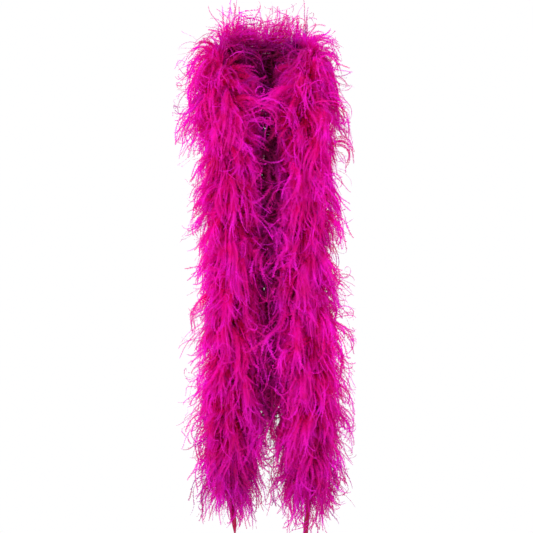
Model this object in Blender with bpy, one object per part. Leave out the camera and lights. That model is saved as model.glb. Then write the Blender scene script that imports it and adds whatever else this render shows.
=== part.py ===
"""Feather boa: four ostrich plies twisted round a cotton core, with a satin ribbon tie at each end.

Metres, +Z up. The origin is the middle of the wearer's neck, level with the boa at the nape. The
wearer faces -Y, and left and right are as seen by someone facing the wearer.
"""

import math

import bmesh
import bpy
from mathutils import Vector

# The core cord and the gaps that keep the pieces apart
CORE_RADIUS = 0.003
TOUCH_GAP = 0.0003
CORE_HINGE_GAP = 0.0025
PLY_HINGE_GAP = 0.0045
CORE_POINT_SPACING = 0.016

# The plies: how far their feathers reach, how they wind and how thick they lie
PLY_COUNT = 4
PLY_PITCH = 0.24
PLY_ROOT_RADIUS = 0.0042
PLY_ROOT_HALF_THICKNESS = 0.0017
PLY_RIM_HALF_THICKNESS = 0.0012
PLY_STEP = 0.018
FEATHER_REACH = 0.072
HINGE_CONE_SLOPE = 1.4
END_CONE_SLOPE = 2.2

# What presses the feathers flat: the neck, the chest behind them, and the other tail
NECK_RADIUS = 0.053
NECK_BOTTOM = -0.11
CHEST_REACH = 0.055
TAIL_GAP = 0.006
REACH_STEP = 0.001

# Where the tails flex, as heights, and where the plies of the collar part
HINGE_HEIGHTS = (-0.20, -0.42, -0.64)
COLLAR_SPLIT_HEIGHT = -0.032

# The end binding, the ribbon's knots and the ribbon
BINDING_LENGTH = 0.009
BINDING_RADIUS = 0.0062
BINDING_ROUNDING = 0.001
BINDING_SIDES = 12
KNOT_RADII = (0.0065, 0.0050, 0.0055)
END_KNOT_RADII = (0.0058, 0.0042, 0.0052)
KNOT_SEGMENTS = 10
KNOT_RINGS = 7
RIBBON_WIDTH = 0.010
RIBBON_THICKNESS = 0.0006
RIBBON_POINT_SPACING = 0.015
KNOT_TO_RIBBON = 0.0010

# How finely curves are sampled and searched, and the angle past which an edge is sharp
SPLINE_STEPS = 24
BISECTIONS = 40
SHARP_DEGREES = 35

# The core's route, from the left end up round the nape and down to the right end
ROUTE = [
    (-0.066, -0.122, -0.850),
    (-0.067, -0.123, -0.780),
    (-0.064, -0.126, -0.690),
    (-0.067, -0.129, -0.590),
    (-0.064, -0.132, -0.490),
    (-0.062, -0.135, -0.400),
    (-0.065, -0.135, -0.310),
    (-0.069, -0.131, -0.220),
    (-0.074, -0.118, -0.150),
    (-0.080, -0.091, -0.096),
    (-0.085, -0.048, -0.054),
    (-0.085, 0.000, -0.026),
    (-0.073, 0.042, -0.010),
    (-0.042, 0.071, -0.002),
    (0.000, 0.081, 0.000),
    (0.042, 0.071, -0.002),
    (0.073, 0.042, -0.010),
    (0.086, 0.000, -0.026),
    (0.087, -0.048, -0.054),
    (0.083, -0.091, -0.096),
    (0.079, -0.118, -0.150),
    (0.078, -0.131, -0.220),
    (0.077, -0.135, -0.310),
    (0.075, -0.135, -0.400),
    (0.077, -0.132, -0.490),
    (0.082, -0.129, -0.590),
    (0.084, -0.126, -0.690),
    (0.083, -0.123, -0.780),
    (0.085, -0.122, -0.850),
]

# Each ribbon's route below its knot, relative to the end of the core
LEFT_RIBBON_ROUTE = [
    (0.0000, 0.0000, 0.0000),
    (0.0040, -0.0060, -0.0250),
    (0.0085, -0.0130, -0.0550),
    (0.0105, -0.0180, -0.0850),
    (0.0110, -0.0200, -0.1150),
    (0.0110, -0.0200, -0.1450),
    (0.0110, -0.0200, -0.1800),
]
RIGHT_RIBBON_ROUTE = [
    (0.0000, 0.0000, 0.0000),
    (-0.0020, -0.0060, -0.0250),
    (-0.0055, -0.0130, -0.0550),
    (-0.0080, -0.0180, -0.0850),
    (-0.0090, -0.0200, -0.1150),
    (-0.0090, -0.0200, -0.1450),
    (-0.0090, -0.0200, -0.1800),
]

PLY_COLOURS = ((0.70, 0.01, 0.36), (0.62, 0.004, 0.30), (0.54, 0.004, 0.25), (0.66, 0.01, 0.40))
CORE_COLOUR = (0.30, 0.004, 0.12)
THREAD_COLOUR = (0.40, 0.004, 0.18)
RIBBON_COLOUR = (0.36, 0.004, 0.09)


class Curve:
    """A smooth curve through route points, with its length, its places and its frames."""

    def __init__(self, points):
        self.points = smooth(points)
        self.lengths = [0.0]
        for a, b in zip(self.points, self.points[1:]):
            self.lengths.append(self.lengths[-1] + (b - a).length)
        self.length = self.lengths[-1]
        self.normals = self.carried_normals()

    def tangent_of(self, i):
        before = self.points[max(i - 1, 0)]
        after = self.points[min(i + 1, len(self.points) - 1)]
        return (after - before).normalized()

    def carried_normals(self):
        """A normal carried along the curve without twisting, so that only the ply's pitch winds it."""
        normals = []
        normal = Vector((1, 0, 0))
        for i in range(len(self.points)):
            tangent = self.tangent_of(i)
            normal = (normal - normal.dot(tangent) * tangent).normalized()
            normals.append(normal)
        return normals

    def span(self, s):
        """The sample before s, and how far s lies towards the next one."""
        i = 0
        while i < len(self.lengths) - 2 and self.lengths[i + 1] < s:
            i += 1
        return i, (s - self.lengths[i]) / (self.lengths[i + 1] - self.lengths[i])

    def place(self, s):
        i, part = self.span(s)
        return self.points[i].lerp(self.points[i + 1], part)

    def frame(self, s):
        """The centre, tangent, normal and binormal at s."""
        i, part = self.span(s)
        tangent = self.tangent_of(i).lerp(self.tangent_of(i + 1), part).normalized()
        normal = self.normals[i].lerp(self.normals[i + 1], part)
        normal = (normal - normal.dot(tangent) * tangent).normalized()
        return self.place(s), tangent, normal, tangent.cross(normal)

    def crossing(self, height, start, end):
        """Where the curve passes a height, between two lengths on one side of the nape."""
        low, high = (start, end) if self.place(start).z < self.place(end).z else (end, start)
        for _ in range(BISECTIONS):
            middle = (low + high) / 2
            if self.place(middle).z < height:
                low = middle
            else:
                high = middle
        return (low + high) / 2


def smooth(points):
    """Catmull-Rom samples through the route points."""
    route = [Vector(p) for p in points]
    route = [2 * route[0] - route[1]] + route + [2 * route[-1] - route[-2]]
    samples = []
    for a, b, c, d in zip(route, route[1:], route[2:], route[3:]):
        for step in range(SPLINE_STEPS):
            t = step / SPLINE_STEPS
            samples.append(
                0.5 * (2 * b + (c - a) * t + (2 * a - 5 * b + 4 * c - d) * t**2
                       + (3 * b - a - 3 * c + d) * t**3)
            )
    return samples + [route[-2]]


def stations(start, end, spacing):
    """Evenly spaced lengths from start to end, about spacing apart."""
    count = max(2, round(abs(end - start) / spacing))
    return [start + (end - start) * i / count for i in range(count + 1)]


def material(name, colour, roughness, sheen=0.0):
    made = bpy.data.materials.new(name)
    made.use_nodes = True
    shader = made.node_tree.nodes["Principled BSDF"]
    shader.inputs["Base Color"].default_value = (*colour, 1)
    shader.inputs["Roughness"].default_value = roughness
    shader.inputs["Metallic"].default_value = 0
    shader.inputs["Sheen Weight"].default_value = sheen
    return made


class Body:
    """A group of pieces that move together, hung on an empty at its joint."""

    def __init__(self, name, pivot, parent=None):
        self.pivot = Vector(pivot)
        self.empty = bpy.data.objects.new(name + "_pivot", None)
        bpy.context.scene.collection.objects.link(self.empty)
        if parent is None:
            self.empty.location = self.pivot
        else:
            self.empty.parent = parent.empty
            self.empty.location = self.pivot - parent.pivot

    def add(self, name, data, look):
        piece = bpy.data.objects.new(name, data)
        bpy.context.scene.collection.objects.link(piece)
        piece.parent = self.empty
        data.materials.append(look)
        return piece


def finished(mesh_name, builder):
    """A mesh from a bmesh, with its faces outward and smooth sides."""
    mesh = bpy.data.meshes.new(mesh_name)
    bmesh.ops.recalc_face_normals(builder, faces=builder.faces)
    builder.to_mesh(mesh)
    builder.free()
    mesh.shade_smooth()
    mesh.set_sharp_from_angle(angle=math.radians(SHARP_DEGREES))
    return mesh


def loft(name, rings):
    """One closed body through rings of points, with a cap at each end."""
    builder = bmesh.new()
    loops = [[builder.verts.new(p) for p in ring] for ring in rings]
    for near, far in zip(loops, loops[1:]):
        for i in range(len(near)):
            j = (i + 1) % len(near)
            builder.faces.new((near[i], near[j], far[j], far[i]))
    for cap in (loops[0], loops[-1]):
        builder.faces.new(cap)
    bmesh.ops.triangulate(builder, faces=builder.faces)
    return finished(name, builder)


def allowed(point, side):
    """Whether feathers can reach a point: not into the neck, nor the other side's half."""
    in_neck = math.hypot(point.x, point.y) < NECK_RADIUS and point.z > NECK_BOTTOM
    past_middle = side and side * point.x < TAIL_GAP
    return not in_neck and not past_middle


def ply_reach(curve, s, direction, side, cones):
    """How far the feathers stand out from the core at s in a direction.

    side is -1 or 1 for the left or right half and 0 across the nape. Each of cones is a length
    along the core where the feathers part, and how fast they grow away from it.
    """
    centre = curve.place(s)
    reach = FEATHER_REACH
    if centre.y < 0 and direction.y > 0:
        reach -= (FEATHER_REACH - CHEST_REACH) * direction.y
    while reach > PLY_ROOT_RADIUS and not allowed(centre + direction * reach, side):
        reach -= REACH_STEP
    for apex, slope in cones:
        reach = min(reach, slope * abs(s - apex) + TOUCH_GAP)
    return max(reach, PLY_ROOT_RADIUS + REACH_STEP)


def ply(name, curve, index, start, end, side, cones, pivot):
    """One ply's feathers as a thin vane that winds round the core from start to end."""
    rings = []
    for s in stations(start, end, PLY_STEP):
        centre, tangent, normal, binormal = curve.frame(s)
        angle = math.tau * (index / PLY_COUNT + s / PLY_PITCH)
        out = math.cos(angle) * normal + math.sin(angle) * binormal
        across = tangent.cross(out)
        reach = ply_reach(curve, s, out, side, cones)
        middle = (PLY_ROOT_RADIUS + reach) / 2
        root, rim = PLY_ROOT_HALF_THICKNESS, PLY_RIM_HALF_THICKNESS
        outline = ((PLY_ROOT_RADIUS, root), (middle, (root + rim) / 2), (reach, rim))
        outline += tuple((r, -h) for r, h in reversed(outline))
        rings.append([centre + out * r + across * h - pivot for r, h in outline])
    return loft(name, rings)


def core_curve(name, curve, start, end, pivot):
    """A stretch of the core cord, as a round tube with closed ends."""
    data = bpy.data.curves.new(name, "CURVE")
    data.dimensions = "3D"
    data.bevel_depth = CORE_RADIUS
    data.bevel_resolution = 2
    data.use_fill_caps = True
    places = [curve.place(s) - pivot for s in stations(start, end, CORE_POINT_SPACING)]
    spline = data.splines.new("POLY")
    spline.points.add(len(places) - 1)
    for point, place in zip(spline.points, places):
        point.co = (*place, 1)
    return data


def ribbon(name, curve, pivot):
    """A flat ribbon along its route, its width along X."""
    half_width, half_thickness = RIBBON_WIDTH / 2, RIBBON_THICKNESS / 2
    rings = []
    for s in stations(0, curve.length, RIBBON_POINT_SPACING):
        centre = curve.place(s) - pivot
        corners = ((-1, -1), (1, -1), (1, 1), (-1, 1))
        rings.append([centre + Vector((i * half_width, j * half_thickness, 0)) for i, j in corners])
    return loft(name, rings)


def knot(name, centre, radii):
    """A small rounded knot."""
    builder = bmesh.new()
    bmesh.ops.create_uvsphere(builder, u_segments=KNOT_SEGMENTS, v_segments=KNOT_RINGS, radius=1)
    for vert in builder.verts:
        vert.co = centre + Vector(r * c for r, c in zip(radii, vert.co))
    bmesh.ops.triangulate(builder, faces=builder.faces)
    return finished(name, builder)


def binding(name, centre, tangent, normal, binormal):
    """Whipping thread round the end of the core, as a short ring with a rounded outline."""
    hole = CORE_RADIUS + TOUCH_GAP
    half = BINDING_LENGTH / 2
    bulge = BINDING_RADIUS - BINDING_ROUNDING
    outline = ((hole, -half), (bulge, -half), (BINDING_RADIUS, 0), (bulge, half), (hole, half))
    builder = bmesh.new()
    loops = []
    for i in range(BINDING_SIDES):
        angle = math.tau * i / BINDING_SIDES
        out = math.cos(angle) * normal + math.sin(angle) * binormal
        loops.append([builder.verts.new(centre + out * r + tangent * h) for r, h in outline])
    for i in range(BINDING_SIDES):
        near, far = loops[i], loops[(i + 1) % BINDING_SIDES]
        for j in range(len(outline)):
            k = (j + 1) % len(outline)
            builder.faces.new((near[j], near[k], far[k], far[j]))
    bmesh.ops.triangulate(builder, faces=builder.faces)
    return finished(name, builder)


def add_stretch(body, name, curve, start, end, side, cones, looks):
    """The plies of one stretch, each a piece of its own."""
    for index in range(PLY_COUNT):
        mesh = ply(f"{name}_ply_{index + 1}", curve, index, start, end, side, cones, body.pivot)
        body.add(mesh.name, mesh, looks["plies"][index])


def add_core(body, name, curve, start, end, looks):
    data = core_curve(name, curve, start, end, body.pivot)
    body.add(name, data, looks["core"])


def add_end(body, label, curve, end, inward, looks, ribbon_route):
    """The binding, the knot and the ribbon tie at one end of the boa."""
    at_binding = end + inward * (BINDING_LENGTH / 2 + TOUCH_GAP)
    centre, tangent, normal, binormal = curve.frame(at_binding)
    ring = binding(f"{label}_end_binding", centre - body.pivot, tangent, normal, binormal)
    body.add(ring.name, ring, looks["thread"])
    core_end = curve.place(end)
    knot_centre = core_end - Vector((0, 0, KNOT_RADII[2] + 2 * TOUCH_GAP))
    lump = knot(f"{label}_tie_knot", knot_centre - body.pivot, KNOT_RADII)
    body.add(lump.name, lump, looks["ribbon"])
    top = knot_centre - Vector((0, 0, KNOT_RADII[2] + KNOT_TO_RIBBON))
    tie = Body(f"{label}_tie", top, body)
    tie_curve = Curve([top + Vector(p) for p in ribbon_route])
    strip = ribbon(f"{label}_tie_ribbon", tie_curve, tie.pivot)
    tie.add(strip.name, strip, looks["ribbon"])
    bottom = tie_curve.points[-1] - Vector((0, 0, END_KNOT_RADII[2] + TOUCH_GAP))
    stop = knot(f"{label}_tie_end_knot", bottom - tie.pivot, END_KNOT_RADII)
    tie.add(stop.name, stop, looks["ribbon"])


def add_tail(label, side, curve, hinges, end, collar, looks, ribbon_route):
    """Three linked stretches from the chest to one end. hinges are lengths, from the chest down."""
    outward = 1 if end > hinges[0] else -1
    parent = collar
    for i, part in enumerate(("upper", "middle", "lower")):
        top = hinges[i]
        last = i == len(hinges) - 1
        bottom = end if last else hinges[i + 1]
        body = Body(f"{label}_{part}", curve.place(top), parent)
        core_bottom = bottom if last else bottom - outward * CORE_HINGE_GAP
        add_core(body, f"{label}_{part}_core", curve, top + outward * CORE_HINGE_GAP, core_bottom, looks)
        ply_bottom = bottom - outward * PLY_HINGE_GAP
        cones = [(top, HINGE_CONE_SLOPE), (bottom, HINGE_CONE_SLOPE)]
        if last:
            ply_bottom = bottom - outward * (BINDING_LENGTH + 3 * TOUCH_GAP)
            cones[1] = (ply_bottom + outward * PLY_HINGE_GAP, END_CONE_SLOPE)
        add_stretch(body, f"{label}_{part}", curve, top + outward * PLY_HINGE_GAP, ply_bottom,
                    side, cones, looks)
        parent = body
    add_end(parent, label, curve, end, -outward, looks, ribbon_route)


def build():
    for old in list(bpy.data.objects):
        bpy.data.objects.remove(old)
    looks = {
        "plies": [material(f"ply_{i + 1}", c, 0.7, 0.5) for i, c in enumerate(PLY_COLOURS)],
        "core": material("core_cotton", CORE_COLOUR, 0.8),
        "thread": material("binding_thread", THREAD_COLOUR, 0.6),
        "ribbon": material("satin_ribbon", RIBBON_COLOUR, 0.35, 0.3),
    }
    curve = Curve(ROUTE)
    nape = curve.length / 2
    left = [curve.crossing(h, 0, nape) for h in HINGE_HEIGHTS]
    right = [curve.crossing(h, nape, curve.length) for h in HINGE_HEIGHTS]
    split_left = curve.crossing(COLLAR_SPLIT_HEIGHT, 0, nape)
    split_right = curve.crossing(COLLAR_SPLIT_HEIGHT, nape, curve.length)

    collar = Body("collar", (0, 0, 0))
    add_core(collar, "collar_core", curve, left[0] + CORE_HINGE_GAP, right[0] - CORE_HINGE_GAP, looks)
    add_stretch(collar, "collar_left", curve, left[0] + PLY_HINGE_GAP, split_left - TOUCH_GAP,
                -1, [(left[0], HINGE_CONE_SLOPE)], looks)
    add_stretch(collar, "collar_nape", curve, split_left + TOUCH_GAP, split_right - TOUCH_GAP,
                0, [], looks)
    add_stretch(collar, "collar_right", curve, split_right + TOUCH_GAP, right[0] - PLY_HINGE_GAP,
                1, [(right[0], HINGE_CONE_SLOPE)], looks)
    add_tail("left", -1, curve, left, 0, collar, looks, LEFT_RIBBON_ROUTE)
    add_tail("right", 1, curve, right, curve.length, collar, looks, RIGHT_RIBBON_ROUTE)


if __name__ == "__main__":
    build()
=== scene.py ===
import math
from collections import namedtuple
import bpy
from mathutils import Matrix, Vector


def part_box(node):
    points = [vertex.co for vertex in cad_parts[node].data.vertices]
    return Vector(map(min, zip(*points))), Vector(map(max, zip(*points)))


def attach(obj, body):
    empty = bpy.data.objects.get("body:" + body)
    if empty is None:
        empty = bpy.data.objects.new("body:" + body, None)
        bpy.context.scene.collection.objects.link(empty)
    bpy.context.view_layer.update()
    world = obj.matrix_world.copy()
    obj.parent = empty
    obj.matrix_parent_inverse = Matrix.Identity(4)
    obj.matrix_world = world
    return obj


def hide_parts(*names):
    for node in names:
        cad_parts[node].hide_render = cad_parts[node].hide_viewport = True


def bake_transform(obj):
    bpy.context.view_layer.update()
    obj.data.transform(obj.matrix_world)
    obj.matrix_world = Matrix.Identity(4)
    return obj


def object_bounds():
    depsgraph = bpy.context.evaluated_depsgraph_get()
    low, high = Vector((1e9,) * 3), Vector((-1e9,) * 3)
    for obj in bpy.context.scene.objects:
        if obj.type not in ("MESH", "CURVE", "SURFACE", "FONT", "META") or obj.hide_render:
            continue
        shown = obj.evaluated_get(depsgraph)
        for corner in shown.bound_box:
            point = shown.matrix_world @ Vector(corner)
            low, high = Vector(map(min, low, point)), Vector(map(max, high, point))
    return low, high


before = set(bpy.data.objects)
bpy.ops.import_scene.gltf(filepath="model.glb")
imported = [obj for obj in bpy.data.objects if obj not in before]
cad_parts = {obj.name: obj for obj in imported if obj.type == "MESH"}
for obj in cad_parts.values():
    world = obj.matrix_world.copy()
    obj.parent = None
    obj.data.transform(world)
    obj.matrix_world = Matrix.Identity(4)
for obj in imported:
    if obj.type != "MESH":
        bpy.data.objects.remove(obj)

from types import SimpleNamespace

import bpy
import numpy as np
from mathutils import Vector

cad_low, cad_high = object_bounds()

# ---------------------------------------------------------------- driving dimensions
# Lengths are in metres and angles in radians. x runs to the right in the photo and y away from the
# camera, both from the axis of the neck, and z runs up from the core at the nape.
SEED = 7
PLY_COUNT = 4
PLY_PITCH = 0.24  # of core to one turn of a ply
CORE_DIAMETER = 0.006
CORE_STRANDS = 3
CORE_LAY = 0.014  # of core to one turn of its strands
CORE_GAP = 0.0002  # from a hinge to the end of each stretch of core
RIBBON_WIDTH = 0.010
RIBBON_THICKNESS = 0.0003
RIBBON_CUP = 0.0007
KNOT_ROLL_RADIUS = 0.0019
WHIPPING_RADIUS = 0.00045
HINGE_HEIGHTS = (-0.20, -0.42, -0.64)
SIDES = ("left", "right")
TAIL_PARTS = ("upper", "middle", "lower")
NECK_RADIUS = 0.052
BETWEEN_TAILS = 0.0095  # the x halfway between the tails
COLLAR_HALF_WIDTH = 0.086
SPLINE_STEPS = 24
DOWN = np.array([0.0, 0.0, -1.0])

# The core's route, as in the CAD: from the left end up round the nape and down to the right end
ROUTE = [
    (-0.066, -0.122, -0.850),
    (-0.067, -0.123, -0.780),
    (-0.064, -0.126, -0.690),
    (-0.067, -0.129, -0.590),
    (-0.064, -0.132, -0.490),
    (-0.062, -0.135, -0.400),
    (-0.065, -0.135, -0.310),
    (-0.069, -0.131, -0.220),
    (-0.074, -0.118, -0.150),
    (-0.080, -0.091, -0.096),
    (-0.085, -0.048, -0.054),
    (-0.085, 0.000, -0.026),
    (-0.073, 0.042, -0.010),
    (-0.042, 0.071, -0.002),
    (0.000, 0.081, 0.000),
    (0.042, 0.071, -0.002),
    (0.073, 0.042, -0.010),
    (0.086, 0.000, -0.026),
    (0.087, -0.048, -0.054),
    (0.083, -0.091, -0.096),
    (0.079, -0.118, -0.150),
    (0.078, -0.131, -0.220),
    (0.077, -0.135, -0.310),
    (0.075, -0.135, -0.400),
    (0.077, -0.132, -0.490),
    (0.082, -0.129, -0.590),
    (0.084, -0.126, -0.690),
    (0.083, -0.123, -0.780),
    (0.085, -0.122, -0.850),
]
LEFT_RIBBON_TOP = (-0.066, -0.122, -0.8626)
RIGHT_RIBBON_TOP = (0.085, -0.122, -0.8626)
LEFT_RIBBON_ROUTE = [
    (0.0000, 0.0000, 0.0000),
    (0.0040, -0.0060, -0.0250),
    (0.0085, -0.0130, -0.0550),
    (0.0105, -0.0180, -0.0850),
    (0.0110, -0.0200, -0.1150),
    (0.0110, -0.0200, -0.1450),
    (0.0110, -0.0200, -0.1800),
]
RIGHT_RIBBON_ROUTE = [
    (0.0000, 0.0000, 0.0000),
    (-0.0020, -0.0060, -0.0250),
    (-0.0055, -0.0130, -0.0550),
    (-0.0080, -0.0180, -0.0850),
    (-0.0090, -0.0200, -0.1150),
    (-0.0090, -0.0200, -0.1450),
    (-0.0090, -0.0200, -0.1800),
]

rng = np.random.default_rng(SEED)


# ---------------------------------------------------------------- camera and light
def add_camera():
    """Level, straight in front, and far enough for the flat look of a catalogue picture."""
    aim_x, tail_plane, aim_z = 0.0038, -0.125, -0.434
    distance = 2.6
    seen_width = 1.0127
    data = bpy.data.cameras.new("camera")
    data.sensor_width = 36.0
    data.lens = data.sensor_width * distance / seen_width
    camera = bpy.data.objects.new("camera", data)
    camera.location = (aim_x, tail_plane - distance, aim_z)
    camera.rotation_euler = (math.pi / 2, 0, 0)
    bpy.context.scene.collection.objects.link(camera)
    bpy.context.scene.camera = camera


add_camera()


def add_area(name, place, aim, size, power):
    """A white rectangular lamp at a place, turned to face aim."""
    data = bpy.data.lights.new(name, "AREA")
    data.shape = "RECTANGLE"
    data.size, data.size_y = size
    data.energy = power
    lamp = bpy.data.objects.new(name, data)
    lamp.location = place
    lamp.rotation_euler = (Vector(aim) - Vector(place)).to_track_quat("-Z", "Y").to_euler()
    bpy.context.scene.collection.objects.link(lamp)


def add_lights():
    """A large soft key from the left, a weak fill, two lamps behind, and a white studio all round."""
    aim = (0, -0.1, -0.4)
    add_area("key", (-1.7, -2.1, -0.2), aim, (1.8, 1.8), 80)
    add_area("fill", (1.9, -2.0, 0.2), aim, (1.4, 1.8), 8)
    add_area("back_left", (-1.6, 1.6, 0.8), aim, (1.0, 1.6), 20)
    add_area("back_right", (1.6, 1.6, 0.8), aim, (1.0, 1.6), 20)
    world = bpy.data.worlds.new("studio")
    world.use_nodes = True
    sky = world.node_tree.nodes["Background"]
    sky.inputs["Color"].default_value = (0.98, 0.98, 1.0, 1)
    sky.inputs["Strength"].default_value = 1.02
    bpy.context.scene.world = world
    bpy.context.scene.view_settings.view_transform = "Standard"
    bpy.context.scene.view_settings.look = "None"


add_lights()


# ---------------------------------------------------------------- curves
def catmull_rom(points):
    """Points on the smooth curve that passes through the given ones."""
    route = np.array(points, float)
    route = np.vstack([2 * route[0] - route[1], route, 2 * route[-1] - route[-2]])
    t = (np.arange(SPLINE_STEPS) / SPLINE_STEPS)[None, :, None]
    a, b, c, d = (route[i : len(route) - 3 + i, None] for i in range(4))
    samples = 0.5 * (2 * b + (c - a) * t + (2 * a - 5 * b + 4 * c - d) * t**2
                     + (3 * b - a - 3 * c + d) * t**3)
    return np.vstack([samples.reshape(-1, 3), route[-2]])


def unit(v):
    return v / np.maximum(np.linalg.norm(v, axis=-1, keepdims=True), 1e-12)


def lengths_to(points):
    """The length of the line through points, from its start to each of them."""
    steps = np.linalg.norm(np.diff(points, axis=0), axis=1)
    return np.concatenate([[0.0], np.cumsum(steps)])


def carried_normals(tangents, start):
    """A normal for each tangent, carried along from start without twisting."""
    normal, normals = np.array(start), []
    for tangent in tangents:
        normal = unit(normal - normal @ tangent * tangent)
        normals.append(normal)
    return np.array(normals)


class Curve:
    """A smooth curve through route points, with places, tangents and untwisted normals by length."""

    def __init__(self, points):
        self.points = catmull_rom(points)
        self.s = lengths_to(self.points)
        self.length = float(self.s[-1])
        self.tangents = unit(np.gradient(self.points, axis=0))
        self.normals = carried_normals(self.tangents, (1.0, 0.0, 0.0))

    def read(self, table, s):
        return np.stack([np.interp(s, self.s, table[:, i]) for i in range(3)], -1)

    def place(self, s):
        return self.read(self.points, s)

    def axes(self, s):
        """The places at s, and the tangent, normal and binormal there."""
        tangent = unit(self.read(self.tangents, s))
        normal = self.read(self.normals, s)
        normal = unit(normal - (normal * tangent).sum(-1, keepdims=True) * tangent)
        return self.place(s), tangent, normal, np.cross(tangent, normal)

    def crossing(self, height, start, end):
        """Where the curve passes a height, on the stretch from start to end."""
        inside = (self.s >= start) & (self.s <= end)
        heights, lengths = self.points[inside, 2], self.s[inside]
        order = np.argsort(heights)
        return float(np.interp(height, heights[order], lengths[order]))


core_line = Curve(ROUTE)
nape = core_line.length / 2


# ---------------------------------------------------------------- materials
class Nodes:
    """A material's node tree with short ways to add and link nodes."""

    def __init__(self, name):
        self.material = bpy.data.materials.new(name)
        self.material.use_nodes = True
        self.tree = self.material.node_tree
        self.shader = self.tree.nodes["Principled BSDF"]

    def add(self, kind, **settings):
        node = self.tree.nodes.new(kind)
        for key, value in settings.items():
            setattr(node, key, value)
        return node

    def link(self, source, target):
        self.tree.links.new(source, target)

    def attribute(self, name):
        return self.add("ShaderNodeAttribute", attribute_name=name).outputs["Fac"]

    def texture(self, kind, settings, **inputs):
        """A procedural texture in object space. inputs are its number sockets."""
        node = self.add(kind, **settings)
        for key, value in inputs.items():
            node.inputs[key].default_value = value
        self.link(self.add("ShaderNodeTexCoord").outputs["Object"], node.inputs["Vector"])
        return node.outputs["Fac"]

    def noise(self, scale, detail=2.0):
        return self.texture("ShaderNodeTexNoise", {}, Scale=scale, Detail=detail)

    def bands(self, direction, scale, distortion=0.0):
        settings = {"wave_type": "BANDS", "bands_direction": direction}
        return self.texture("ShaderNodeTexWave", settings, Scale=scale, Distortion=distortion)

    def bump(self, height, strength, distance):
        """The shader's normal, from a height."""
        node = self.add("ShaderNodeBump")
        node.inputs["Strength"].default_value = strength
        node.inputs["Distance"].default_value = distance
        self.link(height, node.inputs["Height"])
        self.link(node.outputs["Normal"], self.shader.inputs["Normal"])

    def roughness(self, value, low, high):
        """The shader's roughness, from low to high as value goes from 0 to 1."""
        self.link(self.stretch(value, low, high), self.shader.inputs["Roughness"])

    def ramp(self, value, stops):
        """A colour for value. stops is [(position, colour)], the colours linear."""
        node = self.add("ShaderNodeValToRGB")
        ramp = node.color_ramp
        while len(ramp.elements) < len(stops):
            ramp.elements.new(0.5)
        for element, (position, colour) in zip(ramp.elements, stops):
            element.position = position
            element.color = (*colour, 1)
        self.link(value, node.inputs["Fac"])
        return node.outputs["Color"]

    def mix(self, amount, a, b, kind="MIX"):
        """a blended with b by amount. Each is a number, a colour or a socket."""
        node = self.add("ShaderNodeMix", data_type="RGBA", blend_type=kind)
        for socket, value in ((node.inputs[0], amount), (node.inputs[6], a), (node.inputs[7], b)):
            if isinstance(value, bpy.types.NodeSocket):
                self.link(value, socket)
            elif isinstance(value, tuple):
                socket.default_value = (*value, 1)
            else:
                socket.default_value = value
        return node.outputs[2]

    def stretch(self, value, low, high):
        """value, from 0 to 1, taken to low to high."""
        node = self.add("ShaderNodeMapRange")
        node.inputs["To Min"].default_value = low
        node.inputs["To Max"].default_value = high
        self.link(value, node.inputs["Value"])
        return node.outputs["Result"]


WHITE = (1.0, 1.0, 1.0)
BLACK = (0.0, 0.0, 0.0)
FLUE_ROOT = (0.74, 0.000, 0.068)
FLUE_MIDDLE = (0.90, 0.000, 0.300)
FLUE_TIP = (0.86, 0.006, 0.680)
FLUE_END = (0.68, 0.010, 0.440)
FLUE_DEEP = (0.62, 0.000, 0.036)
FLUE_PALE = (0.94, 0.012, 0.800)
FLUE_VIOLET = (0.36, 0.006, 0.320)
FLUE_SHADE = (0.13, 0.001, 0.022)
FLUE_SHEEN = (1.0, 0.05, 0.80)
CORE_COLOURS = ((0.30, 0.004, 0.13), (0.10, 0.0, 0.04))
THREAD_COLOURS = ((0.42, 0.006, 0.20), (0.14, 0.0, 0.06))
SATIN_COLOURS = ((0.26, 0.001, 0.036), (0.09, 0.0, 0.02))
LIGHT_THROUGH_FLUES = 0.6


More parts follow.
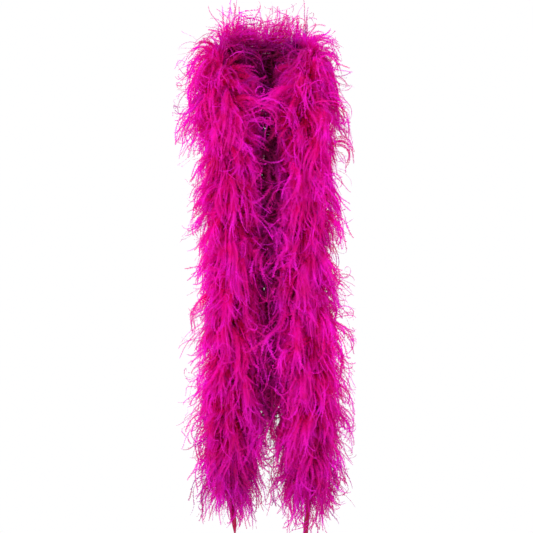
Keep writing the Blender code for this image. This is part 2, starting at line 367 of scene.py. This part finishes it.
def feather_material(index):
    """Dyed ostrich: crimson near the quill, magenta along the flue, and violet toward its tip.

    The flues carry "along" (0 at the root, 1 at the tip), "tone" (0 a deep one, 1 a stray) and
    "shade", a painted shade (1 where the tails or the nape shadow it, and partly toward the tail ends).
    """
    nodes = Nodes(f"ostrich_flue_{index + 1}")
    along, tone = nodes.attribute("along"), nodes.attribute("tone")
    dye = nodes.noise(26.0 + 3 * index, 3.0)
    colour = nodes.ramp(along, [(0.0, FLUE_ROOT), (0.38, FLUE_MIDDLE), (0.80, FLUE_TIP), (1.0, FLUE_END)])

    deep_flue = nodes.ramp(tone, [(0.0, WHITE), (0.3, BLACK)])
    near_root = nodes.ramp(along, [(0.45, WHITE), (0.9, BLACK)])
    deep_root = nodes.mix(1.0, deep_flue, near_root, "MULTIPLY")
    pale_flue = nodes.ramp(tone, [(0.35, BLACK), (0.9, WHITE)])
    stray = nodes.ramp(tone, [(0.9, BLACK), (0.97, WHITE)])
    dye_patch = nodes.ramp(dye, [(0.35, WHITE), (0.62, BLACK)])
    for mask, most, tint in ((deep_root, 0.7, FLUE_DEEP), (pale_flue, 0.8, FLUE_PALE),
                             (stray, 0.85, FLUE_VIOLET), (dye_patch, 0.65, FLUE_DEEP),
                             (nodes.attribute("shade"), 0.9, FLUE_SHADE)):
        colour = nodes.mix(nodes.stretch(mask, 0.0, most), colour, tint)
    nodes.link(colour, nodes.shader.inputs["Base Color"])
    nodes.roughness(dye, 0.5, 0.75)
    nodes.bump(nodes.noise(1100.0), strength=0.2, distance=0.0003)
    nodes.shader.inputs["Specular IOR Level"].default_value = 0.12
    nodes.shader.inputs["Sheen Weight"].default_value = 0.12
    nodes.shader.inputs["Sheen Roughness"].default_value = 0.4
    nodes.shader.inputs["Sheen Tint"].default_value = (*FLUE_SHEEN, 1)

    through = nodes.add("ShaderNodeBsdfTranslucent")
    nodes.link(colour, through.inputs["Color"])
    blend = nodes.add("ShaderNodeMixShader")
    blend.inputs[0].default_value = LIGHT_THROUGH_FLUES
    nodes.link(nodes.shader.outputs[0], blend.inputs[1])
    nodes.link(through.outputs[0], blend.inputs[2])
    nodes.link(blend.outputs[0], nodes.tree.nodes["Material Output"].inputs["Surface"])
    return nodes.material


def thread_material(name, colour, dark):
    """Twisted cotton: fine slanted strands in the colour and the bump."""
    nodes = Nodes(name)
    strands = nodes.bands("DIAGONAL", 620.0, 1.5)
    nodes.link(nodes.ramp(strands, [(0.0, dark), (0.8, colour)]), nodes.shader.inputs["Base Color"])
    nodes.roughness(nodes.noise(180.0), 0.65, 0.9)
    nodes.bump(strands, strength=0.4, distance=0.0003)
    return nodes.material


def satin_material(name, colour, dark):
    """Satin ribbon: a fine weave, soft noise patches of painted fold shade, and darker edges where
    "across" is 0 or 1.
    """
    nodes = Nodes(name)
    edge = nodes.ramp(nodes.attribute("across"),
                      [(0.0, dark), (0.12, colour), (0.88, colour), (1.0, dark)])
    # painted shade of soft folds, in noise patches
    shaded = nodes.mix(nodes.stretch(nodes.noise(60.0), 0.0, 0.4), edge, dark)
    nodes.link(shaded, nodes.shader.inputs["Base Color"])
    nodes.roughness(nodes.noise(140.0), 0.28, 0.45)
    nodes.bump(nodes.bands("Z", 900.0), strength=0.25, distance=0.0001)
    nodes.shader.inputs["Specular IOR Level"].default_value = 0.08
    return nodes.material


flue_looks = [feather_material(i) for i in range(PLY_COUNT)]
core_look = thread_material("core_cotton", *CORE_COLOURS)
thread_look = thread_material("whipping_thread", *THREAD_COLOURS)
ribbon_look = satin_material("crimson_satin", *SATIN_COLOURS)


# ---------------------------------------------------------------- mesh helpers
def mesh_object(name, verts, quads, tris, looks, fields=(), look_of=None):
    """A mesh object from arrays.

    fields is {name: a value for each vertex}, and look_of gives each face's place in looks.
    """
    mesh = bpy.data.meshes.new(name)
    mesh.vertices.add(len(verts))
    mesh.vertices.foreach_set("co", np.asarray(verts, np.float32).ravel())
    quads = np.asarray(quads, np.int32).reshape(-1, 4)
    tris = np.asarray(tris, np.int32).reshape(-1, 3)
    corners = np.concatenate([quads.ravel(), tris.ravel()])
    mesh.loops.add(len(corners))
    mesh.loops.foreach_set("vertex_index", corners)
    starts = np.concatenate([np.arange(len(quads)) * 4, quads.size + np.arange(len(tris)) * 3])
    mesh.polygons.add(len(starts))
    mesh.polygons.foreach_set("loop_start", starts.astype(np.int32))
    mesh.update(calc_edges=True)
    mesh.shade_smooth()
    for key, values in dict(fields).items():
        attribute = mesh.attributes.new(key, "FLOAT", "POINT")
        attribute.data.foreach_set("value", np.asarray(values, np.float32))
    for look in looks:
        mesh.materials.append(look)
    if look_of is not None:
        mesh.polygons.foreach_set("material_index", np.asarray(look_of, np.int32))
    made = bpy.data.objects.new(name, mesh)
    bpy.context.scene.collection.objects.link(made)
    return made


def ring_quads(rings, around):
    """The quads between rings that follow one another, each with the same number of vertices."""
    i = np.arange(rings - 1)[:, None] * around
    j = np.arange(around)[None, :]
    k = (j + 1) % around
    return np.stack([i + j, i + k, i + around + k, i + around + j], -1).reshape(-1, 4)


def tube_arrays(path, radius_of, sides):
    """Vertices, quads and cap triangles of a tube along path. radius_of(s, angle) gives its radius."""
    path = np.asarray(path, float)
    tangents = unit(np.gradient(path, axis=0))
    start = (1.0, 0.0, 0.0) if abs(tangents[0][0]) < 0.9 else (0.0, 1.0, 0.0)
    normals = carried_normals(tangents, start)
    binormals = np.cross(tangents, normals)
    angles = np.arange(sides) * math.tau / sides
    radii = radius_of(lengths_to(path)[:, None], angles[None, :])
    ring = (np.cos(angles)[None, :, None] * normals[:, None] +
            np.sin(angles)[None, :, None] * binormals[:, None])
    verts = (path[:, None] + ring * radii[..., None]).reshape(-1, 3)
    last = (len(path) - 1) * sides
    caps = []
    for n in range(1, sides - 1):
        caps.append((0, n + 1, n))
        caps.append((last, last + n, last + n + 1))
    return verts, ring_quads(len(path), sides), np.array(caps, int)


# ---------------------------------------------------------------- core cord, in seven stretches
def core_hinges():
    """The hinge places along the core, from the chest down, on each side."""
    left = [core_line.crossing(h, 0, nape) for h in HINGE_HEIGHTS]
    right = [core_line.crossing(h, nape, core_line.length) for h in HINGE_HEIGHTS]
    return {"left": left, "right": right}


HINGES = core_hinges()
CORE_END = {"left": 0.0, "right": core_line.length}
DOWNHILL = {"left": -1, "right": 1}


def laid_rope(s, angle):
    """A radius that rises and falls over the strands of a laid cord."""
    strand = np.cos(CORE_STRANDS * (angle - math.tau * s / CORE_LAY))
    return CORE_DIAMETER / 2 * (0.92 + 0.08 * strand)


def add_core(name, node, body, start, end):
    """The core cord from start to end, which are lengths along its whole route."""
    ring_step = 0.002
    path = core_line.place(np.linspace(start, end, int(abs(end - start) / ring_step)))
    verts, quads, caps = tube_arrays(path, laid_rope, 18)
    piece = mesh_object(name, verts, quads, caps, [core_look])
    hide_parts(node)
    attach(piece, body)


def add_cores():
    add_core("collar_core_cord", "collar_core", "collar",
             HINGES["left"][0] + CORE_GAP, HINGES["right"][0] - CORE_GAP)
    for side in SIDES:
        stops = HINGES[side] + [CORE_END[side]]
        for part, top, bottom in zip(TAIL_PARTS, stops, stops[1:]):
            step = DOWNHILL[side] * CORE_GAP
            add_core(f"{side}_{part}_core_cord", f"{side}_{part}_core", f"{side}_{part}",
                     top + step, bottom - step)


add_cores()


# ---------------------------------------------------------------- ties: bindings, knots and ribbons
def ribbon_arrays(path, turn_of, width, thickness, cup):
    """A satin strip along path, its width turned by turn_of(t), cupped a little across."""
    path = np.asarray(path, float)
    tangents = unit(np.gradient(path, axis=0))
    t = np.linspace(0, 1, len(path))
    flat = unit(np.array([1.0, 0, 0]) - tangents[:, :1] * tangents)
    turn = turn_of(t)[:, None]
    depth = np.cross(tangents, flat)
    side = np.cos(turn) * flat + np.sin(turn) * depth
    face = np.cross(tangents, side)
    across = np.linspace(-1, 1, 9)
    rise = cup * (1 - across**2)
    rings = []
    for up in (1, -1):
        order = across if up > 0 else across[::-1]
        lift = (rise if up > 0 else rise[::-1]) + up * thickness / 2
        rings.append(path[:, None] + side[:, None] * (order * width / 2)[None, :, None]
                     + face[:, None] * lift[None, :, None])
    ring = np.concatenate(rings, 1)
    count = ring.shape[1]
    last = (len(path) - 1) * count
    caps = []
    for n in range(len(across) - 1):
        m = count - 1 - n
        caps += [(n, m, m - 1), (n, m - 1, n + 1)]
        caps += [(last + n, last + m - 1, last + m), (last + n, last + n + 1, last + m - 1)]
    fields = {"across": np.tile(np.concatenate([(across + 1) / 2, (across[::-1] + 1) / 2]), len(path))}
    return ring.reshape(-1, 3), ring_quads(len(path), count), caps, fields


# Top, route, and the ribbon's turn at its top and over its whole length, in radians
RIBBON_LOOKS = {"left": (LEFT_RIBBON_TOP, LEFT_RIBBON_ROUTE, 1.2, 7.5),
                "right": (RIGHT_RIBBON_TOP, RIGHT_RIBBON_ROUTE, -0.3, 1.8)}


def add_ribbon(side):
    """The satin tie at one end, with the knot it hangs from and the stop knot at its free end."""
    top, route, start_turn, whole_turn = RIBBON_LOOKS[side]
    line = Curve(np.array(route) + np.array(top))
    path = line.place(np.linspace(0, line.length, 90))
    verts, quads, caps, fields = ribbon_arrays(
        path, lambda t: start_turn + whole_turn * t, RIBBON_WIDTH, RIBBON_THICKNESS, RIBBON_CUP)
    piece = mesh_object(f"{side}_satin_tie", verts, quads, caps, [ribbon_look], fields)
    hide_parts(f"{side}_tie_ribbon")
    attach(piece, f"{side}_tie")
    knots = [add_knot(f"{side}_tie_stop_knot", f"{side}_tie_end_knot", f"{side}_tie")]
    add_knot(f"{side}_tie_top_knot", f"{side}_tie_knot", f"{side}_lower")


def add_knot(name, node, body):
    """An overhand knot of rolled and creased ribbon, as large as its CAD solid."""
    low, high = (np.array(c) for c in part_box(node))
    t = np.linspace(0, math.tau, 73)
    shape = np.stack([np.sin(t) + 2 * np.sin(2 * t), -np.sin(3 * t), np.cos(t) - 2 * np.cos(2 * t)], -1)
    shape = shape / np.abs(shape).max(0) * ((high - low) / 2 - KNOT_ROLL_RADIUS)
    verts, quads, caps = tube_arrays(
        shape + (low + high) / 2,
        lambda s, angle: KNOT_ROLL_RADIUS * (0.9 + 0.1 * np.cos(4 * angle + 900 * s)), 14)
    piece = mesh_object(name, verts, quads, caps, [ribbon_look], {"across": np.full(len(verts), 0.5)})
    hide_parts(node)
    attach(piece, body)
    return piece


def add_binding(side):
    """Whipping thread, wound over the end of the plies in a close helix."""
    node = f"{side}_end_binding"
    low, high = (np.array(c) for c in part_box(node))
    middle, height = (low + high) / 2, high[2] - low[2]
    wound = height - 2 * WHIPPING_RADIUS
    closeness = 0.98
    turns = int(wound / (2 * WHIPPING_RADIUS * closeness))
    t = np.linspace(0, 1, turns * 24)
    end_taper = 0.0006
    radius = (high[0] - low[0]) / 2 - WHIPPING_RADIUS - end_taper * (2 * t - 1) ** 4
    angle = math.tau * turns * t
    path = middle + np.stack([radius * np.cos(angle), radius * np.sin(angle), (t - 0.5) * wound], -1)
    verts, quads, caps = tube_arrays(
        path, lambda s, around: np.full((s.size, around.size), WHIPPING_RADIUS), 8)
    piece = mesh_object(f"{side}_end_whipping", verts, quads, caps, [thread_look])
    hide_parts(node)
    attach(piece, f"{side}_lower")


for end_side in SIDES:
    add_ribbon(end_side)
    add_binding(end_side)


# ---------------------------------------------------------------- feathers
# per_metre: flues on a metre of one ply; tuft: flues that lie together; steps: barbule pairs on a flue;
# length, spread: mean and deviation of its length; weight: how fast it bends down, least and most
# (1/m); wave, hook: bending of the whole flue and of its tip (1/m); width: barbule reach; tone: least
# and most. The kinds are the main flues, the short down over the core, and thin strays.
Kind = namedtuple("Kind", "per_metre tuft steps length spread weight wave hook width tone")
KINDS = [
    Kind(1100, 9, 52, 0.130, 0.016, (21.0, 46.0), 32.0, 28.0, 0.0043, (0.35, 0.82)),
    Kind(1200, 5, 18, 0.064, 0.010, (16.0, 34.0), 12.0, 10.0, 0.0040, (0.0, 0.2)),
    Kind(220, 3, 52, 0.134, 0.013, (10.0, 24.0), 26.0, 60.0, 0.0024, (0.70, 1.0)),
]
LONGEST_FLUE = 0.15
SHORTEST_SHARE = 0.5
FLUE_LENGTH_SHARE = (0.75, 1.05)
# Deviations: a tuft's angle round the core, a flue's angle in its tuft, and its place along the core
TUFT_FAN = 0.5
FLUE_FAN = 0.08
FLUE_SHIFT = 0.003
LEAN = (0.12, 0.42)  # mean and deviation of how far a flue leans down at its root
END_LEAN = (-0.1, 1.0)
WAVES = (0.7, 1.9)  # in a flue's length
STRAY = 0.05
END_STRAY = 0.25
HOOK_GAIN = 2.5
HEADING_JITTER = 0.02
TONE_JITTER = 0.05
# How fast flues bend down: the share at the nape and what the shoulders add, then what raised ones lose
NAPE_WEIGHT = 0.85
SHOULDER_WEIGHT = 0.40
RAISED_LIGHTNESS = 0.6
# How much longer, lighter and broader the flues are that cross between the tails
INWARD_LENGTH = 0.40
INWARD_LIGHTNESS = 0.40
INWARD_BREADTH = 0.8
INWARD_STOP = 0.16  # near its end, a tail sends no longer flues inward
INWARD_FADE = 0.4
NECK_FOOT = (-0.02, -0.06)  # the heights between which the neck ends
NAPE_RADIUS = 0.08
# Pairs of places and shares: how fully the neck presses on flues, by height and by y
NECK_LOW = ([-0.11, -0.06], [0.0, 1.0])
NECK_FRONT = ([-0.03, 0.00], [0.0, 1.0])
NECK_SOFTNESS = 5
# Over the last stretch of each tail some tufts are trimmed, and the others are wispy
END_LENGTH = 0.13
END_SHORT_SHARE = 0.58
END_SHORTENING = 0.32
TRIMMED_WEIGHT = 0.8
WISPY_LIGHTNESS = 0.4
WISPY_TONE = 0.4
WISPY_WAVE = 0.4
WISPY_THINNESS = 0.15
GAP_HALF_WIDTH = 0.026
GAP_FADE = 0.015
GAP_DEPTH = 0.040
# Pairs of places and values: the y where the shadow starts, by height, and its strength by y and by height
GAP_FRONT = ([-0.22, -0.08], [-0.205, -0.11])
GAP_BACK = ([-0.05, 0.00], [1.0, 0.0])
GAP_STRENGTH = ([-0.80, -0.70, -0.52, -0.45, -0.06, -0.02], [0.0, 0.65, 0.65, 1.0, 1.0, 0.0])
COLLAR_TOP = 0.035  # the height where the shadow inside the nape ends
# Painted shade toward the tail ends, where less light falls: its most, and the length it fades over
END_SHADE = 0.27
END_SHADE_LENGTH = 0.22
COLLAR_TONE = 0.35
# How long the flues on the outer side of each tail are, as a share, at heights from the bottom up
FULLNESS = {"left": ([-0.85, -0.76, -0.68, -0.50, -0.35, -0.27, -0.20, -0.12, -0.07, -0.035, 0.0],
                     [0.80, 0.88, 0.95, 0.87, 0.78, 0.72, 0.85, 1.10, 1.12, 0.72, 0.60]),
            "right": ([-0.85, -0.80, -0.60, -0.45, -0.30, -0.12, -0.07, -0.035, 0.0],
                      [1.15, 1.0, 1.15, 1.0, 0.92, 0.92, 1.0, 0.62, 0.45])}
# How fast the flues on the outer side of the shoulders bend down, as a share, at heights
SHOULDER_DROOP = ([-0.18, -0.12, -0.05, -0.02], [1.0, 0.62, 0.80, 1.25])
PLY_ROOT = 0.0045  # from the middle of the core to the roots of the flues
THREAD_RADIUS = 0.0011
THREAD_STEP = 0.004
THREAD_LAY = 0.006
# How far flues may stand out of the part's box: a share of each side, and metres
BOX_SIDE_SHARE = 0.028
BOX_SPARE = 0.005
# Deviations of a flue's turn about itself: at its root, more of it at the sides, and toward its tip
ROOT_TWIST = 0.3
SIDE_TWIST = 2.0
TIP_TWIST = 0.6
# Barbule reach: its share at the root, how fast it grows to the whole, and what the tip loses
ROOT_REACH = 0.45
REACH_GROWTH = 3
TIP_TAPER = 0.66
# Each barbule's share of the reach, its slant toward the tip, and the deviation of its lift
TOOTH_REACH = (0.55, 1.25)
TOOTH_SLANT = (0.8, 2.0)
TOOTH_LIFT = 0.3

room = BOX_SIDE_SHARE * np.array(cad_high - cad_low) + BOX_SPARE
room_low, room_high = np.array(cad_low) - room, np.array(cad_high) + room


def surroundings(s, angle):
    """Where flues rooted at s, and turned by angle round the core, stand on the boa.

    centre and out are the place on the core and the direction away from it, from_end is the length
    of core to the nearer end, and fullness is the outer flues' share of length. The others go from
    0 to about 1: steep where the core hangs, collar where it lies level, shoulder at the sides of
    the collar, near_end toward the ends, inward and outward for flues toward and away from the
    other tail, raised for flues that rise over the neck, and at_nape for those that point at it.
    """
    centre, tangent, normal, binormal = core_line.axes(s)
    out = np.cos(angle)[:, None] * normal + np.sin(angle)[:, None] * binormal
    x, z = centre[:, 0], centre[:, 2]
    steep = np.abs(tangent[:, 2])
    collar = 1 - steep**4
    from_end = np.minimum(s, core_line.length - s)
    below_neck = np.clip((z - NECK_FOOT[0]) / (NECK_FOOT[1] - NECK_FOOT[0]), 0, 1)
    inward = np.clip(-out[:, 0] * np.sign(x - BETWEEN_TAILS), 0, 1) ** 2
    from_neck = unit(centre * [1, 1, 0])
    facing_out = np.clip((out * from_neck).sum(1), 0, 1)
    return SimpleNamespace(
        centre=centre, out=out, steep=steep, collar=collar, from_end=from_end,
        shoulder=(np.abs(x) / COLLAR_HALF_WIDTH) ** 2 * collar,
        near_end=np.clip(1 - from_end / END_LENGTH, 0, 1),
        inward=inward * below_neck * np.clip(from_end / INWARD_STOP - INWARD_FADE, 0, 1),
        outward=np.clip(out[:, 0] * np.sign(x), 0, 1),
        fullness=np.where(x < 0, np.interp(z, *FULLNESS["left"]), np.interp(z, *FULLNESS["right"])),
        raised=np.clip(out[:, 2], 0, 1) * (1 - steep) * (1 - facing_out),
        at_nape=np.clip(-(out * centre).sum(1) / NAPE_RADIUS, 0, 1) * (1 - below_neck))


def grown_flues(kind, ply, start, end):
    """The flues of one kind on a stretch of one ply, grown outward and bending down as they go.

    Returns their centrelines (count, steps + 1, 3), their tone and shade along them, the direction
    each starts in, and how far each one's barbules reach.
    """
    count = int(abs(end - start) * kind.per_metre)
    tufts = -(-count // kind.tuft)

    def shared(values):
        """One value for each flue, from one for each tuft."""
        return np.repeat(values, kind.tuft, axis=0)[:count]

    s = shared(start + (end - start) * (np.arange(tufts) + rng.random(tufts)) / tufts)
    angle = math.tau * (ply / PLY_COUNT + s / PLY_PITCH) + shared(rng.normal(0, TUFT_FAN, tufts))
    lean = shared(rng.normal(*LEAN, tufts))
    length = rng.normal(kind.length, kind.spread, tufts)
    length = shared(np.clip(length, SHORTEST_SHARE * kind.length, LONGEST_FLUE))
    weight = shared(rng.uniform(*kind.weight, tufts))
    wave_axis = shared(unit(rng.normal(size=(tufts, 3))))
    wave_phase = shared(rng.uniform(0, math.tau, tufts))[:, None]
    wave_count = shared(rng.uniform(*WAVES, tufts))[:, None]
    tone = shared(rng.uniform(*kind.tone, tufts))

    s = np.clip(s + rng.normal(0, FLUE_SHIFT, count), min(start, end), max(start, end))
    angle = angle + rng.normal(0, FLUE_FAN, count)
    length = length * rng.uniform(*FLUE_LENGTH_SHARE, count)
    hook_axis = unit(rng.normal(size=(count, 3)))
    hook = rng.normal(0, kind.hook, (count, 1))

    at = surroundings(s, angle)
    trimmed = at.near_end * (shared(rng.random(tufts)) < END_SHORT_SHARE)
    wispy = at.near_end - trimmed
    length = length * (1 + INWARD_LENGTH * at.inward) * (1 - END_SHORTENING * trimmed)
    length = length * (1 + (at.fullness - 1) * at.outward)
    weight = weight * (NAPE_WEIGHT + SHOULDER_WEIGHT * at.shoulder)
    weight = (weight * (1 - INWARD_LIGHTNESS * at.inward)
              * (1 + TRIMMED_WEIGHT * trimmed - WISPY_LIGHTNESS * wispy)
              * (1 - RAISED_LIGHTNESS * at.raised))
    weight = weight * (1 + (np.interp(at.centre[:, 2], *SHOULDER_DROOP) - 1) * at.outward)
    tone = tone + WISPY_TONE * wispy + COLLAR_TONE * at.collar * (1 - tone)
    lean = lean + at.near_end * rng.uniform(*END_LEAN, count)
    stray = (STRAY + END_STRAY * at.near_end)[:, None] * rng.normal(size=(count, 3))

    heading = unit(at.out + (lean * at.steep)[:, None] * DOWN + stray)
    step = (length / kind.steps)[:, None]
    swing = kind.wave * (1 + WISPY_WAVE * wispy[:, None])
    place = at.centre + at.out * PLY_ROOT
    paths = [place]
    for i in range(kind.steps):
        t = (i + 0.5) / kind.steps
        wave = swing * np.sin(math.tau * wave_count * t + wave_phase)
        turn = np.cross(wave_axis, heading) * wave + np.cross(hook_axis, heading) * hook * t**4 * HOOK_GAIN
        heading = unit(heading + (DOWN * weight[:, None] + turn) * step
                       + rng.normal(0, HEADING_JITTER, (count, 3)))
        place = place + heading * step
        paths.append(place)
    paths = fitted(np.stack(paths, 1))

    breadth = (kind.width * (1 + INWARD_BREADTH * at.inward) * (1 - WISPY_THINNESS * wispy))[:, None]
    tone = np.clip(tone + rng.normal(0, TONE_JITTER, count), 0, 1)
    above = np.clip((COLLAR_TOP - paths[..., 2]) / COLLAR_TOP, 0, 1)
    shade = np.maximum(between_tails(paths), at.at_nape[:, None] * above)
    # painted shade over the last stretch of each tail
    end_shade = END_SHADE * np.clip(1 - at.from_end / END_SHADE_LENGTH, 0, 1)
    shade = np.maximum(shade, end_shade[:, None])
    return paths, {"tone": np.repeat(tone[:, None], paths.shape[1], 1), "shade": shade}, at.out, breadth


def between_tails(places):
    """How far each place lies in the shadow between the two tails."""
    x, y, z = np.moveaxis(places, -1, 0)
    middle = np.clip((GAP_HALF_WIDTH - np.abs(x - BETWEEN_TAILS)) / GAP_FADE, 0, 1)
    behind = np.clip((y - np.interp(z, *GAP_FRONT)) / GAP_DEPTH, 0, 1)
    return middle * behind * np.interp(z, *GAP_STRENGTH) * np.interp(y, *GAP_BACK)


def fitted(paths):
    """Flues pressed away from the neck, and scaled down where they would leave the part's box."""
    radius = np.maximum(np.hypot(paths[..., 0], paths[..., 1]), 1e-6)
    pressed = NECK_RADIUS * np.interp(paths[..., 2], *NECK_LOW) * np.interp(paths[..., 1], *NECK_FRONT)
    paths[..., :2] *= ((1 + (pressed / radius) ** NECK_SOFTNESS) ** (1 / NECK_SOFTNESS))[..., None]
    roots = paths[:, :1]
    offset = paths - roots
    still = 1e-9
    with np.errstate(divide="ignore", invalid="ignore"):
        to_high = np.where(offset > still, (room_high - roots) / offset, np.inf)
        to_low = np.where(offset < -still, (room_low - roots) / offset, np.inf)
    scale = np.minimum(np.minimum(to_high, to_low).min((1, 2)), 1.0)
    return roots + offset * scale[:, None, None]


def vane_arrays(paths, looks, out, breadth):
    """Each flue as a line of barbules: one tapered tooth on either side of every step of it."""
    count, points = paths.shape[:2]
    t = np.linspace(0, 1, points)
    tangents = unit(np.gradient(paths, axis=1))
    side = unit(np.cross(tangents, unit(out - DOWN)[:, None]))
    face = np.cross(tangents, side)
    root_turn = rng.normal(0, ROOT_TWIST + SIDE_TWIST * out[:, 0] ** 2)[:, None]
    turn = (root_turn + rng.normal(0, TIP_TWIST, count)[:, None] * t)[..., None]
    side, face = np.cos(turn) * side + np.sin(turn) * face, np.cos(turn) * face - np.sin(turn) * side
    reach = breadth * np.minimum(ROOT_REACH + REACH_GROWTH * t, 1) * (1 - TIP_TAPER * t**2)
    teeth = []
    for sign in (-1, 1):
        far = reach[:, :-1] * rng.uniform(*TOOTH_REACH, (count, points - 1))
        slant = rng.uniform(*TOOTH_SLANT, (count, points - 1))
        lift = rng.normal(0, TOOTH_LIFT, (count, points - 1))
        teeth.append(paths[:, :-1] + far[..., None] * (
            sign * side[:, :-1] + slant[..., None] * tangents[:, :-1] + lift[..., None] * face[:, :-1]))
    verts = np.concatenate([paths, *teeth], 1)
    row = np.arange(count)[:, None] * verts.shape[1]
    i = np.arange(points - 1)[None]
    left = np.stack([row + i, row + i + 1, row + points + i], -1)
    right = np.stack([row + i + 1, row + i, row + 2 * points - 1 + i], -1)
    tris = np.concatenate([left, right], 1).reshape(-1, 3)
    along = np.tile(np.concatenate([t, t[:-1], t[:-1]]), count)
    fields = {key: np.concatenate([values, values[:, :-1], values[:, :-1]], 1).ravel()
              for key, values in looks.items()}
    return verts.reshape(-1, 3), tris, {"along": along, **fields}


def thread_arrays(ply, start, end):
    """The ply's own thread, wound round the core under the roots of its flues."""
    s = np.linspace(start, end, int(abs(end - start) / THREAD_STEP))
    centre, _, normal, binormal = core_line.axes(s)
    angle = (math.tau * (ply / PLY_COUNT + s / PLY_PITCH))[:, None]
    path = centre + PLY_ROOT * (np.cos(angle) * normal + np.sin(angle) * binormal)
    lay = math.tau / THREAD_LAY
    return tube_arrays(path, lambda at, a: THREAD_RADIUS * (0.9 + 0.1 * np.cos(2 * (a - lay * at))), 8)


def add_feathers(name, ply, start, end, nodes, bodies, joint_at=None):
    """One ply's feathers between two places on the core. A piece that crosses a joint is not attached to a
    body but has its transform applied.
    """
    thread, quads, caps = thread_arrays(ply, start, end)
    verts, tris, total = [thread], [caps], len(thread)
    fields = {key: [np.zeros(total)] for key in ("along", "tone", "shade")}
    for kind in KINDS:
        more, faces, values = vane_arrays(*grown_flues(kind, ply, start, end))
        verts.append(more)
        tris.append(faces + total)
        total += len(more)
        for key in fields:
            fields[key].append(values[key])
    fields = {key: np.concatenate(values) for key, values in fields.items()}
    tris = np.concatenate(tris)
    look_of = np.zeros(len(quads) + len(tris), int)
    look_of[: len(quads) + len(caps)] = 1
    piece = mesh_object(name, np.concatenate(verts), quads, tris, [flue_looks[ply], thread_look],
                        fields, look_of)
    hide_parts(*nodes)
    if joint_at is None:
        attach(piece, bodies[0])
    else:
        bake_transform(piece)


COLLAR_MARGIN = 0.07  # from the first hinge up to where the collar's own feathers start
BEND_HALF = 0.045  # the stretch on either side of a hinge, passed to add_feathers as joint_at
END_MARGIN = 0.006


def add_all_feathers():
    """Every ply's feathers: one piece on the collar, and one over each hinge of each tail."""
    for ply in range(PLY_COUNT):
        left_stop = HINGES["left"][0] + COLLAR_MARGIN
        right_stop = HINGES["right"][0] - COLLAR_MARGIN
        nodes = [f"collar_{part}_ply_{ply + 1}" for part in ("left", "nape", "right")]
        add_feathers(f"collar_feathers_ply_{ply + 1}", ply, left_stop, right_stop, nodes, ["collar"])
        for side in SIDES:
            down, hinges = DOWNHILL[side], HINGES[side]
            middles = [(a + b) / 2 for a, b in zip(hinges, hinges[1:])]
            stops = [hinges[0] - down * COLLAR_MARGIN] + middles + [CORE_END[side] - down * END_MARGIN]
            parents = ["collar"] + [f"{side}_{part}" for part in TAIL_PARTS]
            for i, part in enumerate(TAIL_PARTS):
                bend = (hinges[i] - down * BEND_HALF, hinges[i] + down * BEND_HALF)
                add_feathers(f"{side}_{part}_feathers_ply_{ply + 1}", ply, stops[i], stops[i + 1],
                             [f"{side}_{part}_ply_{ply + 1}"], parents[i : i + 2], bend)


add_all_feathers()


# ---------------------------------------------------------------- floor
def add_floor():
    """A plain pale disc under the boa, which hangs clear of it."""
    height, radius, sides = -1.25, 1.35, 96
    angle = np.arange(sides) * math.tau / sides
    rim = np.stack([radius * np.cos(angle), radius * np.sin(angle), np.full(sides, height)], -1)
    verts = np.vstack([rim, [0, 0, height]])
    tris = [(i, (i + 1) % sides, sides) for i in range(sides)]
    nodes = Nodes("pale_floor")
    nodes.shader.inputs["Base Color"].default_value = (0.68, 0.68, 0.69, 1)
    nodes.shader.inputs["Roughness"].default_value = 0.8
    floor = mesh_object("floor", verts, [], tris, [nodes.material])


add_floor()
